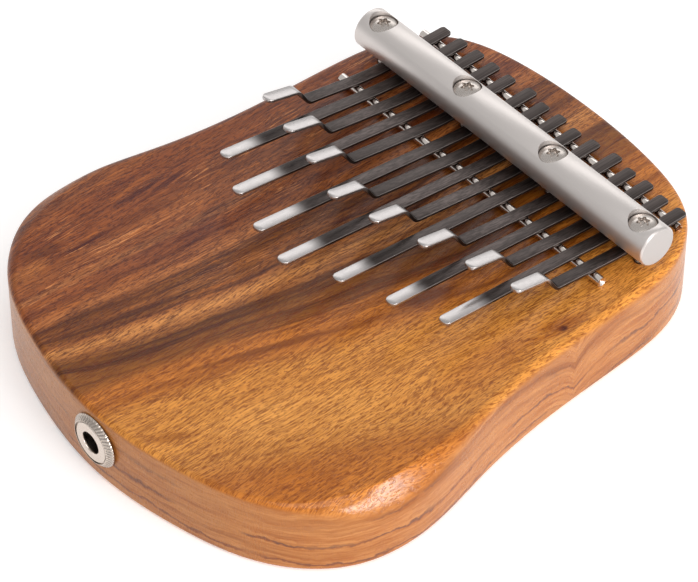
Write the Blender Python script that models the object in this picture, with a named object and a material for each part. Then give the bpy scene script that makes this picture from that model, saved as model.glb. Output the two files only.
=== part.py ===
"""Board kalimba with fifteen flexing steel tines, a round clamp bar and a jack socket.

Units are metres with +Z up. The origin is the centre of the board's underside, +Y points
to the clamp bar and the jack socket is in the -Y end. Every physical piece is one object.
"""
import math

import bmesh
import bpy
import numpy as np
from mathutils import Matrix, Vector

MM = 0.001
GAP = 0.3 * MM               # clearance between pieces that touch
CUT = 1.0 * MM               # how far a cutter runs past the face that it opens
FINE_SEGMENTS = 36           # sides of the bar and the ring nut
ROUND_SEGMENTS = 24          # sides of screw heads, socket and pickup discs
SMALL_SEGMENTS = 16          # sides of shanks, rods and screw holes

# Board
BOARD_LENGTH = 184 * MM
BOARD_THICKNESS = 25 * MM
OUTLINE_HALF = (             # outline anchors from the head to the jack end, millimetres
    (0, 92), (28.2, 89.9), (49.1, 82.6), (60.4, 68.5), (64.3, 48), (65.8, 18.3),
    (70.2, -13), (75.1, -38), (72.1, -59.5), (56.5, -77.5), (31, -87.7), (0, -92),
)
OUTLINE_POINTS = 108
EDGE_WIDTH = 1.7 * MM        # rounded top edge at the two ends
FLANK_EDGE = 3.0 * MM        # softer top edge along the flanks
PALM_MIDDLE_Y = (-57 * MM, -46 * MM)    # carved facets of the lower bout, on the -X and +X side
PALM_REACH = (26 * MM, 30 * MM)
PALM_WIDTH = (3.8 * MM, 4.8 * MM)
PALM_DEPTH = (2.2 * MM, 7.5 * MM)
BOTTOM_EDGE = 1.5 * MM
EDGE_STEPS = 3

# Bridge rods and clamp bar
ROD_RADIUS = 1.5 * MM
ROD_DOME = 0.8 * MM          # height of a rod's domed ends
FRONT_ROD_X = (-55.5 * MM, 55.0 * MM)
REAR_ROD_X = (-55.5 * MM, 53.0 * MM)
FRONT_ROD_Y = 44.0 * MM
FRONT_ROD_Z = BOARD_THICKNESS + 1.5 * MM
REAR_ROD_Y = 75.6 * MM
REAR_ROD_Z = BOARD_THICKNESS + 0.3 * MM
BRIDGE_RODS = (
    ("front", FRONT_ROD_X, FRONT_ROD_Y, FRONT_ROD_Z),
    ("rear", REAR_ROD_X, REAR_ROD_Y, REAR_ROD_Z),
)
BAR_RADIUS = 6.35 * MM
BAR_HALF_LENGTH = 60.7 * MM
BAR_Y = 59.3 * MM
BAR_Z = BOARD_THICKNESS + 9.5 * MM
BAR_CHAMFER = 0.6 * MM

# Clamp screws
SCREW_X = (-54.5 * MM, -18.05 * MM, 18.05 * MM, 54.5 * MM)
SCREW_SHANK_RADIUS = 1.75 * MM
SCREW_HEAD_RADIUS = 4.0 * MM
SCREW_HEAD_HEIGHT = 2.2 * MM
SCREW_HEAD_DOME = ((0, 1.1), (0.3, 0.7), (1.1, 0.25), (1.9, 0))  # (inset, drop), millimetres
SCREW_TAPER = 2.5 * MM
SCREW_SEAT_Z = BOARD_THICKNESS + 12.8 * MM
SCREW_END_Z = BOARD_THICKNESS - 15 * MM
COUNTERBORE_RADIUS = 4.3 * MM
LOBE_MEAN_RADIUS = 1.9 * MM
LOBE_SWING = 0.32 * MM
LOBE_DEPTH = 1.4 * MM

# Tines, numbered from -X to +X
TINE_WIDTH = 3.9 * MM
TINE_THICKNESS = 1.0 * MM
TINE_PITCH = 7.0 * MM
GROUP_GAP = 1.15 * MM        # extra space where the two inner screws pass
TINE_REACH = (33.5, 55, 37.5, 62, 41, 67, 46, 70, 43, 62, 38.5, 56, 33.5, 49, 29.5)  # mm
TAIL_REACH = (5.2, 5.6, 5.9, 5.7, 5.6, 6.4, 5.0, 5.3, 4.5, 5.3, 6.2, 5.0, 5.2, 4.2, 4.4)  # mm
SLOPE_MIDDLE = 7.6           # rise of the free ends in degrees, at the middle tine
SLOPE_FALL = 0.035           # degrees less per millimetre towards +X
SHORT_EXTRA_SLOPE = 1.7      # degrees more on the short tines
TAIL_SLOPE = -0.03           # rise over run behind the bar
RAISED_LENGTH = 10.4 * MM    # raised flat at the end of the short tines
RAISED_EXTRA_SLOPE = 4.0     # degrees more than the rest of the tine
JOG_RUN = 6.4 * MM
JOG_RISE = 6.2 * MM
PIVOT_AHEAD = 4.0 * MM       # flexing is centred this far in front of the front rod

# Jack socket
JACK_X = 1.4 * MM
JACK_Z = 14.5 * MM
JACK_FACE_Y = -BOARD_LENGTH / 2
SOCKET_RADIUS = 3.2 * MM
SOCKET_CHAMFER = 0.5 * MM
NECK_RADIUS = 4.75 * MM
NECK_PROUD = 1.6 * MM
NECK_CHAMFER = 0.2 * MM
SLEEVE_RADIUS = 6.2 * MM
SLEEVE_BORE = 5.2 * MM
SLEEVE_SHOULDER_Y = -76.2 * MM
SLEEVE_END_Y = -52 * MM
INSULATOR_INSET = 0.5 * MM   # from the sleeve's rear end
INSULATOR_THICKNESS = 3.0 * MM
NUT_BASE_RADIUS = 8.4 * MM
NUT_RIM_RADIUS = 6.9 * MM    # front edge of the knurled cone
NUT_PROUD = 1.9 * MM
NUT_GROOVE = (6.3 * MM, 6.7 * MM)  # ring groove between the cone and the smooth face
NUT_GROOVE_DEPTH = 0.5 * MM
NUT_SKIRT = 0.5 * MM         # straight part of the rim against the board
WASHER_RADIUS = 6.2 * MM
SPRING_HALF_WIDTH = 1.5 * MM
SPRING_THICKNESS = 0.5 * MM
SPRING_Z = JACK_Z + 4.1 * MM

# Pocket for the pickup, closed by a plate in the underside
POCKET_HALF_WIDTH = 9.0 * MM
POCKET_CORNER = 2.0 * MM
POCKET_Y = (-78 * MM, -28 * MM)
POCKET_CEILING_Z = 21 * MM
REBATE_HALF_WIDTH = 14.3 * MM
REBATE_Y = (-83.3 * MM, -22.7 * MM)
REBATE_DEPTH = 2.3 * MM
REBATE_CORNER = 4.0 * MM
COVER_THICKNESS = 1.8 * MM
COVER_SCREW_X = 11.6 * MM
COVER_SCREW_Y = (-80.6 * MM, -25.4 * MM)
COVER_SCREW_HEAD = 2.05 * MM
COVER_SCREW_SHANK = 1.0 * MM
COVER_SCREW_END_Z = 9.2 * MM
COVER_SCREW_RECESS = 0.25 * MM  # countersunk heads lie this far inside the plate
PIEZO_Y = -37 * MM
PIEZO_RADIUS = 7.4 * MM
CERAMIC_RADIUS = 5.2 * MM
DISC_THICKNESS = 0.3 * MM    # of the piezo plate and of its ceramic
LEAD_RADIUS = 0.5 * MM


def clear_scene():
    for obj in list(bpy.data.objects):
        bpy.data.objects.remove(obj, do_unlink=True)


def make_material(name, colour, roughness, metallic):
    material = bpy.data.materials.new(name)
    material.use_nodes = True
    shader = material.node_tree.nodes["Principled BSDF"]
    shader.inputs["Base Color"].default_value = (*colour, 1.0)
    shader.inputs["Roughness"].default_value = roughness
    shader.inputs["Metallic"].default_value = metallic
    return material


def add_object(name, bm, finish, smooth_angle=None):
    """Turn a bmesh into a named object; finish is (colour, roughness, metallic)."""
    bmesh.ops.recalc_face_normals(bm, faces=bm.faces)
    mesh = bpy.data.meshes.new(name)
    bm.to_mesh(mesh)
    bm.free()
    mesh.materials.append(make_material(name, *finish))
    if smooth_angle is not None:
        mesh.shade_smooth()
        mesh.set_sharp_from_angle(angle=math.radians(smooth_angle))
    obj = bpy.data.objects.new(name, mesh)
    bpy.context.scene.collection.objects.link(obj)
    return obj


def loft(rings, closed=False):
    """Skin rings of equal length; the ends are capped unless the rings join in a loop."""
    bm = bmesh.new()
    loops = [[bm.verts.new(point) for point in ring] for ring in rings]
    count = len(loops[0])
    pairs = list(zip(loops, loops[1:]))
    if closed:
        pairs.append((loops[-1], loops[0]))
    for lower, upper in pairs:
        for i in range(count):
            j = (i + 1) % count
            bm.faces.new((lower[i], lower[j], upper[j], upper[i]))
    if not closed:
        bm.faces.new(list(reversed(loops[0])))
        bm.faces.new(loops[-1])
    return bm


def turned(profile, segments, placement, closed=False):
    """Revolve (radius, height) points about local Z, then move them by a matrix."""
    angles = [2 * math.pi * i / segments for i in range(segments)]
    rings = []
    for radius, height in profile:
        ring = [Vector((radius * math.cos(a), radius * math.sin(a), height)) for a in angles]
        rings.append([placement @ point for point in ring])
    return loft(rings, closed)


def along_x(y, z):
    """Placement whose local Z axis is world +X."""
    return Matrix.Translation((0, y, z)) @ Matrix.Rotation(math.pi / 2, 4, "Y")


def along_y(x, y, z):
    """Placement whose local Z axis is world +Y."""
    return Matrix.Translation((x, y, z)) @ Matrix.Rotation(-math.pi / 2, 4, "X")


def upright(x, y, z):
    return Matrix.Translation((x, y, z))


def rounded_box(half_x, y_range, z_range, corner):
    """A box whose four vertical edges are rounded."""
    bm = bmesh.new()
    bmesh.ops.create_cube(bm, size=1)
    size = (2 * half_x, y_range[1] - y_range[0], z_range[1] - z_range[0])
    centre = (0, sum(y_range) / 2, sum(z_range) / 2)
    bmesh.ops.scale(bm, vec=size, verts=bm.verts)
    bmesh.ops.translate(bm, vec=centre, verts=bm.verts)
    upright_edges = [
        edge for edge in bm.edges
        if abs((edge.verts[0].co - edge.verts[1].co).z) > 0.5 * size[2]
    ]
    bmesh.ops.bevel(bm, geom=upright_edges, offset=corner, segments=4, profile=0.5, affect="EDGES")
    return bm


def cut(target, name, bm):
    """Subtract a hidden cutter from a piece."""
    cutter = add_object(name, bm, ((0.8, 0.2, 0.2), 0.5, 0.0))
    cutter.hide_render = True
    cutter.display_type = "WIRE"
    modifier = target.modifiers.new(name, "BOOLEAN")
    modifier.operation = "DIFFERENCE"
    modifier.solver = "EXACT"
    modifier.object = cutter


# Board -------------------------------------------------------------------------------

def closed_spline(anchors, count):
    """Points on a smooth closed cubic spline through the anchors, evenly spaced in parameter."""
    anchors = np.array(anchors, float)
    n = len(anchors)
    steps = np.linalg.norm(np.roll(anchors, -1, axis=0) - anchors, axis=1)
    before = np.roll(steps, 1)
    system = np.zeros((n, n))
    for i in range(n):
        system[i, (i - 1) % n] = steps[i]
        system[i, i] = 2 * (steps[i] + before[i])
        system[i, (i + 1) % n] = before[i]
    chord = (np.roll(anchors, -1, axis=0) - anchors) / steps[:, None]
    chord_before = np.roll(chord, 1, axis=0)
    right = 3 * (steps[:, None] * chord_before + before[:, None] * chord)
    tangents = np.linalg.solve(system, right)
    starts = np.concatenate(([0.0], np.cumsum(steps)))
    points = []
    for s in np.linspace(0, starts[-1], count, endpoint=False):
        i = min(int(np.searchsorted(starts, s, side="right")) - 1, n - 1)
        j = (i + 1) % n
        h = steps[i]
        t = (s - starts[i]) / h
        points.append(
            (2 * t**3 - 3 * t**2 + 1) * anchors[i] + (t**3 - 2 * t**2 + t) * h * tangents[i]
            + (3 * t**2 - 2 * t**3) * anchors[j] + (t**3 - t**2) * h * tangents[j]
        )
    return np.array(points)


def board_outline():
    right_side = [(x * MM, y * MM) for x, y in OUTLINE_HALF]
    left_side = [(-x, y) for x, y in reversed(right_side[1:-1])]
    return closed_spline(right_side + left_side, OUTLINE_POINTS)


def outward_normals(points):
    along = np.roll(points, -1, axis=0) - np.roll(points, 1, axis=0)
    normals = np.stack((-along[:, 1], along[:, 0]), axis=1)
    return normals / np.linalg.norm(normals, axis=1)[:, None]


def top_edge(x, y):
    """Width, depth and facet share of the top edge at an outline point."""
    flank = min(1.0, max(0.0, (abs(x) - 50 * MM) / (14 * MM)))
    rounding = EDGE_WIDTH + (FLANK_EDGE - EDGE_WIDTH) * flank
    side = 1 if x > 0 else 0
    distance = min(1.0, abs(y - PALM_MIDDLE_Y[side]) / PALM_REACH[side])
    share = (1 + math.cos(math.pi * distance)) / 2
    width = rounding + (PALM_WIDTH[side] - rounding) * share
    depth = rounding + (PALM_DEPTH[side] - rounding) * share
    return width, depth, share


def board_rings():
    outline = board_outline()
    normals = outward_normals(outline)
    rings = [[], []]
    rings.extend([] for _ in range(EDGE_STEPS + 1))
    for (x, y), (nx, ny) in zip(outline, normals):
        rings[0].append((x - nx * BOTTOM_EDGE, y - ny * BOTTOM_EDGE, 0))
        rings[1].append((x, y, BOTTOM_EDGE))
        width, depth, share = top_edge(x, y)
        for k in range(EDGE_STEPS + 1):
            t = k / EDGE_STEPS
            quarter = t * math.pi / 2
            inset = width * (share * t + (1 - share) * (1 - math.cos(quarter)))
            rise = depth * (share * t + (1 - share) * math.sin(quarter))
            z = BOARD_THICKNESS - depth + rise
            rings[2 + k].append((x - nx * inset, y - ny * inset, z))
    return rings


def make_board():
    board = add_object("body_board", loft(board_rings()), ((0.36, 0.17, 0.07), 0.42, 0.0), 25)
    groove = ROD_RADIUS + GAP
    for label, ends, y, z in BRIDGE_RODS:
        profile = [(groove, ends[0] - GAP), (groove, ends[1] + GAP)]
        cut(board, f"cut_{label}_groove", turned(profile, SMALL_SEGMENTS, along_x(y, z)))
    for number, x in enumerate(SCREW_X, 1):
        radius = SCREW_SHANK_RADIUS + GAP
        profile = [(radius, SCREW_END_Z - CUT), (radius, BOARD_THICKNESS + CUT)]
        cut(board, f"cut_screw_hole_{number}",
            turned(profile, SMALL_SEGMENTS, upright(x, BAR_Y, 0)))
    cut(board, "cut_pocket", rounded_box(
        POCKET_HALF_WIDTH, POCKET_Y, (-CUT, POCKET_CEILING_Z), POCKET_CORNER))
    cut(board, "cut_rebate", rounded_box(
        REBATE_HALF_WIDTH, REBATE_Y, (-2 * CUT, REBATE_DEPTH), REBATE_CORNER))
    bore_radius = NECK_RADIUS + GAP
    bore = [(bore_radius, JACK_FACE_Y - 10 * CUT), (bore_radius, POCKET_Y[0] + 5 * CUT)]
    cut(board, "cut_jack_bore", turned(bore, ROUND_SEGMENTS, along_y(JACK_X, 0, JACK_Z)))
    for number, (x, y) in enumerate(cover_screw_places(), 1):
        radius = COVER_SCREW_SHANK + GAP
        pilot = [(radius, REBATE_DEPTH - CUT), (radius, COVER_SCREW_END_Z + GAP)]
        cut(board, f"cut_pilot_{number}", turned(pilot, SMALL_SEGMENTS, upright(x, y, 0)))


# Back cover --------------------------------------------------------------------------

def cover_screw_places():
    return [(side * COVER_SCREW_X, y) for y in COVER_SCREW_Y for side in (-1, 1)]


def make_back_cover():
    z_top = REBATE_DEPTH - GAP
    plate = rounded_box(
        REBATE_HALF_WIDTH - GAP, (REBATE_Y[0] + GAP, REBATE_Y[1] - GAP),
        (z_top - COVER_THICKNESS, z_top), REBATE_CORNER - GAP)
    cover = add_object("back_cover", plate, ((0.03, 0.03, 0.03), 0.5, 0.0))
    head, shank = COVER_SCREW_HEAD, COVER_SCREW_SHANK
    head_z = z_top - COVER_THICKNESS + COVER_SCREW_RECESS
    neck_z = head_z + head - shank
    point_z = COVER_SCREW_END_Z
    for number, (x, y) in enumerate(cover_screw_places(), 1):
        countersink = [
            (head + 1.2 * GAP, -CUT), (head + 1.2 * GAP, head_z + 0.05 * MM),
            (shank + GAP, neck_z + 0.1 * MM), (shank + GAP, z_top + CUT),
        ]
        cut(cover, f"cut_countersink_{number}",
            turned(countersink, SMALL_SEGMENTS, upright(x, y, 0)))
        screw = [(head - 0.15 * MM, head_z - 0.2 * MM), (head, head_z), (shank, neck_z),
                 (shank, point_z - shank), (0.3 * shank, point_z)]
        add_object(f"cover_screw_{number}", turned(screw, SMALL_SEGMENTS, upright(x, y, 0)),
                   ((0.05, 0.05, 0.055), 0.4, 0.9), 30)


# Bridge rods, clamp bar and its screws ------------------------------------------------

def make_rod(label, ends, y, z):
    shape = []
    for degrees in (20, 50, 90):
        angle = math.radians(degrees)
        shape.append((ROD_RADIUS * math.sin(angle), ROD_DOME * (1 - math.sin(angle))))
    profile = [(radius, ends[0] + depth) for radius, depth in shape]
    profile += [(radius, ends[1] - depth) for radius, depth in reversed(shape)]
    add_object(f"{label}_bridge_rod", turned(profile, SMALL_SEGMENTS, along_x(y, z)),
               ((0.8, 0.79, 0.77), 0.22, 1.0), 40)


def make_clamp_bar():
    end = BAR_HALF_LENGTH
    profile = [
        (BAR_RADIUS - BAR_CHAMFER, -end), (BAR_RADIUS, -end + BAR_CHAMFER),
        (BAR_RADIUS, end - BAR_CHAMFER), (BAR_RADIUS - BAR_CHAMFER, end),
    ]
    bar = add_object("clamp_bar", turned(profile, FINE_SEGMENTS, along_x(BAR_Y, BAR_Z)),
                     ((0.72, 0.70, 0.68), 0.38, 1.0), 25)
    for number, x in enumerate(SCREW_X, 1):
        clear = SCREW_SHANK_RADIUS + GAP
        seat = SCREW_SEAT_Z - GAP
        profile = [(clear, BOARD_THICKNESS), (clear, seat), (COUNTERBORE_RADIUS, seat),
                   (COUNTERBORE_RADIUS, BAR_Z + BAR_RADIUS + CUT)]
        cut(bar, f"cut_counterbore_{number}",
            turned(profile, ROUND_SEGMENTS, upright(x, BAR_Y, 0)))


def make_clamp_screw(number, x):
    top = SCREW_SEAT_Z + SCREW_HEAD_HEIGHT
    head = SCREW_HEAD_RADIUS
    profile = [
        (0.4 * MM, SCREW_END_Z), (SCREW_SHANK_RADIUS, SCREW_END_Z + SCREW_TAPER),
        (SCREW_SHANK_RADIUS, SCREW_SEAT_Z), (head, SCREW_SEAT_Z),
    ]
    profile += [(head - inset * MM, top - drop * MM) for inset, drop in SCREW_HEAD_DOME]
    screw = add_object(f"clamp_screw_{number}",
                       turned(profile, ROUND_SEGMENTS, upright(x, BAR_Y, 0)),
                       ((0.62, 0.61, 0.59), 0.28, 1.0), 30)
    rings = []
    for z in (top - LOBE_DEPTH, top + CUT):
        ring = []
        for k in range(ROUND_SEGMENTS):
            angle = 2 * math.pi * k / ROUND_SEGMENTS
            radius = LOBE_MEAN_RADIUS + LOBE_SWING * math.cos(6 * angle)
            ring.append((x + radius * math.cos(angle), BAR_Y + radius * math.sin(angle), z))
        rings.append(ring)
    cut(screw, f"cut_six_lobe_{number}", loft(rings))


# Tines -------------------------------------------------------------------------------

def tine_x(index):
    middle = len(TINE_REACH) // 2
    group = -1 if index <= 4 else 1 if index >= 10 else 0
    return (index - middle) * TINE_PITCH + group * GROUP_GAP


def curve_between(start, end, start_slope, end_slope, steps):
    """Cubic from one (y, z) point to the next; slopes are rise over run."""
    run = end[0] - start[0]
    points = []
    for k in range(1, steps + 1):
        t = k / steps
        z = ((2 * t**3 - 3 * t**2 + 1) * start[1] + (t**3 - 2 * t**2 + t) * run * start_slope
             + (3 * t**2 - 2 * t**3) * end[1] + (t**3 - t**2) * run * end_slope)
        points.append((start[0] + t * run, z))
    return points


def over_rod(rod_y, rod_z, slope):
    """Centre-line point of a tine that rests on a rod with the given slope."""
    tilt = math.atan(slope)
    return rod_y, rod_z + (ROD_RADIUS + GAP + TINE_THICKNESS / 2) / math.cos(tilt)


def tine_paths(index):
    """Side-view centre lines (y, z): the clamped heel and the flexing tongue."""
    degrees = SLOPE_MIDDLE - SLOPE_FALL * tine_x(index) / MM
    if index % 2 == 0:
        degrees += SHORT_EXTRA_SLOPE
    angle = math.radians(degrees)
    slope = -math.tan(angle)
    rear = over_rod(REAR_ROD_Y, REAR_ROD_Z, TAIL_SLOPE)
    under_bar = (BAR_Y, BAR_Z - BAR_RADIUS - GAP - TINE_THICKNESS / 2)
    front = over_rod(FRONT_ROD_Y, FRONT_ROD_Z, slope)
    pivot = (front[0] - PIVOT_AHEAD, front[1] - slope * PIVOT_AHEAD)
    tail_y = rear[0] + TAIL_REACH[index] * MM
    heel = [(tail_y, rear[1] + TAIL_SLOPE * (tail_y - rear[0])), rear]
    heel += curve_between(rear, under_bar, TAIL_SLOPE, 0, 4)
    heel += curve_between(under_bar, front, 0, slope, 4)
    heel.append((pivot[0] + GAP / 2, pivot[1] + slope * GAP / 2))
    start = (pivot[0] - GAP / 2, pivot[1] - slope * GAP / 2)
    tip_y = front[0] - TINE_REACH[index] * MM
    if index % 2:
        tip = (tip_y, start[1] + slope * (tip_y - start[0]))
        return heel, [start, tip]
    raised_angle = angle + math.radians(RAISED_EXTRA_SLOPE)
    raised_slope = -math.tan(raised_angle)
    jog_end_y = tip_y + RAISED_LENGTH * math.cos(raised_angle)
    jog_start_y = jog_end_y + JOG_RUN
    jog_start = (jog_start_y, start[1] + slope * (jog_start_y - start[0]))
    jog_end = (jog_end_y, jog_start[1] + JOG_RISE + slope * (jog_end_y - jog_start_y) * 0.5)
    tongue = [start, jog_start]
    tongue += curve_between(jog_start, jog_end, slope, raised_slope, 6)
    tongue.append((tip_y, jog_end[1] + raised_slope * (tip_y - jog_end_y)))
    return heel, tongue


def with_rounded_end(path, reverse):
    """Stations (y, z, half width) along a path, narrowed to a round end."""
    points = list(reversed(path)) if reverse else list(path)
    end, inner = Vector(points[-1]), Vector(points[-2])
    radius = TINE_WIDTH / 2
    back = (inner - end).normalized()
    stations = [(y, z, radius) for y, z in points[:-1]]
    for degrees in (0, 35, 65):
        angle = math.radians(degrees)
        place = end + back * radius * (1 - math.sin(angle))
        stations.append((place.x, place.y, radius * math.cos(angle)))
    return stations


def strip(x, stations):
    """A flat bar of the tine's thickness through the stations."""
    centres = [Vector(station[:2]) for station in stations]
    rings = []
    for k, (y, z, half) in enumerate(stations):
        along = centres[min(k + 1, len(centres) - 1)] - centres[max(k - 1, 0)]
        up = Vector((-along.y, along.x)).normalized() * TINE_THICKNESS / 2
        if up.y < 0:
            up = -up
        rings.append([
            (x - half, y - up.x, z - up.y), (x + half, y - up.x, z - up.y),
            (x + half, y + up.x, z + up.y), (x - half, y + up.x, z + up.y),
        ])
    return loft(rings)


def make_tine(index):
    x = tine_x(index)
    steel = ((0.13, 0.12, 0.12), 0.36, 1.0)
    heel, tongue = tine_paths(index)
    heel_name = f"tine_{index + 1:02d}_heel"
    tongue_name = f"tine_{index + 1:02d}_tongue"
    add_object(heel_name, strip(x, with_rounded_end(heel, True)), steel, 30)
    piece = add_object(tongue_name, strip(x, with_rounded_end(tongue, False)), steel, 30)
    pivot = Vector((x, *tongue[0]))
    piece.data.transform(Matrix.Translation(-pivot))
    piece.location = pivot


# Jack socket and pickup --------------------------------------------------------------

def jack_turned(profile, closed=False):
    """Revolve (radius, y) points about the socket's axis."""
    segments = FINE_SEGMENTS if profile[0][0] > SLEEVE_RADIUS else ROUND_SEGMENTS
    return turned(profile, segments, along_y(JACK_X, 0, JACK_Z), closed)


def make_jack():
    nickel = ((0.74, 0.73, 0.71), 0.25, 1.0)
    mouth = JACK_FACE_Y - NECK_PROUD
    shoulder = SLEEVE_SHOULDER_Y
    sleeve = [
        (SOCKET_RADIUS + SOCKET_CHAMFER, mouth), (NECK_RADIUS - NECK_CHAMFER, mouth),
        (NECK_RADIUS, mouth + NECK_CHAMFER), (NECK_RADIUS, shoulder), (SLEEVE_RADIUS, shoulder),
        (SLEEVE_RADIUS, SLEEVE_END_Y), (SLEEVE_BORE, SLEEVE_END_Y), (SLEEVE_BORE, shoulder + 4 * MM),
        (SOCKET_RADIUS, shoulder + 3 * MM), (SOCKET_RADIUS, mouth + SOCKET_CHAMFER),
    ]
    add_object("jack_sleeve", jack_turned(sleeve, True), nickel, 30)
    base = JACK_FACE_Y - GAP
    front = JACK_FACE_Y - NUT_PROUD
    nut = [
        (NUT_BASE_RADIUS, base), (NUT_BASE_RADIUS, base - NUT_SKIRT), (NUT_RIM_RADIUS, front),
        (NUT_GROOVE[1], front), (NUT_GROOVE[1], front + NUT_GROOVE_DEPTH),
        (NUT_GROOVE[0], front + NUT_GROOVE_DEPTH), (NUT_GROOVE[0], front),
        (NECK_RADIUS + GAP, front), (NECK_RADIUS + GAP, base),
    ]
    add_object("jack_ring_nut", jack_turned(nut, True), nickel, 30)
    near, far = POCKET_Y[0] + GAP, shoulder - GAP
    washer = [
        (NECK_RADIUS + GAP, near), (WASHER_RADIUS, near), (WASHER_RADIUS, far),
        (NECK_RADIUS + GAP, far),
    ]
    add_object("jack_washer", jack_turned(washer, True), ((0.7, 0.66, 0.55), 0.35, 1.0), 30)


def make_jack_contacts():
    rear = SLEEVE_END_Y - INSULATOR_INSET
    disc = [(SLEEVE_BORE - GAP, rear - INSULATOR_THICKNESS), (SLEEVE_BORE - GAP, rear)]
    insulator = add_object("jack_insulator", jack_turned(disc), ((0.02, 0.02, 0.02), 0.5, 0.0), 30)
    slot = rounded_box(
        SPRING_HALF_WIDTH + GAP, (rear - 5 * MM, rear + 2 * MM),
        (SPRING_Z - SPRING_THICKNESS / 2 - GAP, JACK_Z + 8 * MM), 0.2 * MM)
    bmesh.ops.translate(slot, vec=(JACK_X, 0, 0), verts=slot.verts)
    cut(insulator, "cut_spring_slot", slot)
    path = [(-66.5 * MM, SPRING_Z), (-65 * MM, SPRING_Z - 0.5 * MM), (-63.5 * MM, SPRING_Z),
            (SLEEVE_END_Y + 2.5 * MM, SPRING_Z)]
    left, right = JACK_X - SPRING_HALF_WIDTH, JACK_X + SPRING_HALF_WIDTH
    half = SPRING_THICKNESS / 2
    rings = [
        [(left, y, z - half), (right, y, z - half), (right, y, z + half), (left, y, z + half)]
        for y, z in path
    ]
    add_object("jack_tip_spring", loft(rings), ((0.75, 0.6, 0.3), 0.3, 1.0))


def make_pickup():
    plate_top = POCKET_CEILING_Z - GAP
    plate = [(PIEZO_RADIUS, plate_top - DISC_THICKNESS), (PIEZO_RADIUS, plate_top)]
    add_object("piezo_plate", turned(plate, ROUND_SEGMENTS, upright(0, PIEZO_Y, 0)),
               ((0.78, 0.6, 0.28), 0.35, 1.0), 30)
    ceramic_top = plate_top - DISC_THICKNESS - GAP
    ceramic = [(CERAMIC_RADIUS, ceramic_top - DISC_THICKNESS), (CERAMIC_RADIUS, ceramic_top)]
    add_object("piezo_ceramic", turned(ceramic, ROUND_SEGMENTS, upright(0, PIEZO_Y, 0)),
               ((0.8, 0.78, 0.72), 0.6, 0.0), 30)


# Route points of the two pickup leads, millimetres
HOT_ROUTE = ((1.4, -48.7, 18.6), (1.5, -47, 18.3), (1.8, -45, 17.0), (1.8, -42.6, 16.4),
             (1.0, -40.4, 17.2), (0.3, -38.8, 18.3), (0, -38.2, 19.1))
GROUND_ROUTE = ((1.4, -51.1, 8.8), (0.6, -48.5, 8.4), (-2.6, -45, 9.4), (-4.6, -40, 12.6),
                (-5.6, -35.5, 16.2), (-6.1, -33.4, 18.6), (-6.2, -33.2, 19.6))


def smooth_route(points, per_span=3):
    """Catmull-Rom curve through hand-placed route points."""
    route = [Vector(point) * MM for point in points]
    route = [route[0] * 2 - route[1]] + route + [route[-1] * 2 - route[-2]]
    smooth = []
    for k in range(1, len(route) - 2):
        a, b, c, d = route[k - 1:k + 3]
        for step in range(per_span):
            t = step / per_span
            smooth.append(0.5 * (2 * b + (c - a) * t + (2 * a - 5 * b + 4 * c - d) * t**2
                                 + (3 * b - a - 3 * c + d) * t**3))
    smooth.append(route[-2])
    return smooth


def make_lead(name, route, colour):
    curve = bpy.data.curves.new(name, "CURVE")
    curve.dimensions = "3D"
    curve.bevel_depth = LEAD_RADIUS
    curve.bevel_resolution = 2
    curve.use_fill_caps = True
    points = smooth_route(route)
    spline = curve.splines.new("POLY")
    spline.points.add(len(points) - 1)
    for target, point in zip(spline.points, points):
        target.co = (*point, 1)
    curve.materials.append(make_material(name, colour, 0.5, 0.0))
    lead = bpy.data.objects.new(name, curve)
    bpy.context.scene.collection.objects.link(lead)


def main():
    clear_scene()
    make_board()
    make_back_cover()
    for label, ends, y, z in BRIDGE_RODS:
        make_rod(label, ends, y, z)
    make_clamp_bar()
    for number, x in enumerate(SCREW_X, 1):
        make_clamp_screw(number, x)
    for index in range(len(TINE_REACH)):
        make_tine(index)
    make_jack()
    make_jack_contacts()
    make_pickup()
    make_lead("pickup_lead_hot", HOT_ROUTE, (0.6, 0.05, 0.04))
    make_lead("pickup_lead_ground", GROUND_ROUTE, (0.03, 0.03, 0.03))


main()
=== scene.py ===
"""Looks of the board kalimba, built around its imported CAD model.

Units are metres in the model's frame: the origin is the centre of the board's underside,
+Y points to the clamp bar and +Z up. Patterns in the materials are in millimetres.
"""
import math

import bmesh
import bpy
import numpy as np
from mathutils import Matrix, Vector


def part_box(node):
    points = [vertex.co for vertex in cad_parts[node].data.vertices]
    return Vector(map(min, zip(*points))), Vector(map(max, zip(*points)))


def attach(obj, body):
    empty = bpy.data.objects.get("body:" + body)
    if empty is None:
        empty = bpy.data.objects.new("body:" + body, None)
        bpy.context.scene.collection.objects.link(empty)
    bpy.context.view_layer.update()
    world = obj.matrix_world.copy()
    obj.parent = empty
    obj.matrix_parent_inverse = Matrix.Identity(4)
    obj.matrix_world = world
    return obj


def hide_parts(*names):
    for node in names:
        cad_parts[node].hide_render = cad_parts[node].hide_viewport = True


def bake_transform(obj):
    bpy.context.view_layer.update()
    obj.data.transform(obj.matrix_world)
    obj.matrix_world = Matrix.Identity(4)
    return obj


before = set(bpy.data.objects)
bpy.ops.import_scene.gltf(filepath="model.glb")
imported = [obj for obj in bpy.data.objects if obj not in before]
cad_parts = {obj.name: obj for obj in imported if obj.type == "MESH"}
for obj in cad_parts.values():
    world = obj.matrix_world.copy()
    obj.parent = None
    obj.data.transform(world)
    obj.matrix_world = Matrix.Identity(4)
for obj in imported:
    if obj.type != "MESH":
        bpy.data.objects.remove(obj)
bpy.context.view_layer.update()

MM = 0.001
HAIR = 0.05 * MM  # gap between a piece and the recess that it sits in

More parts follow.
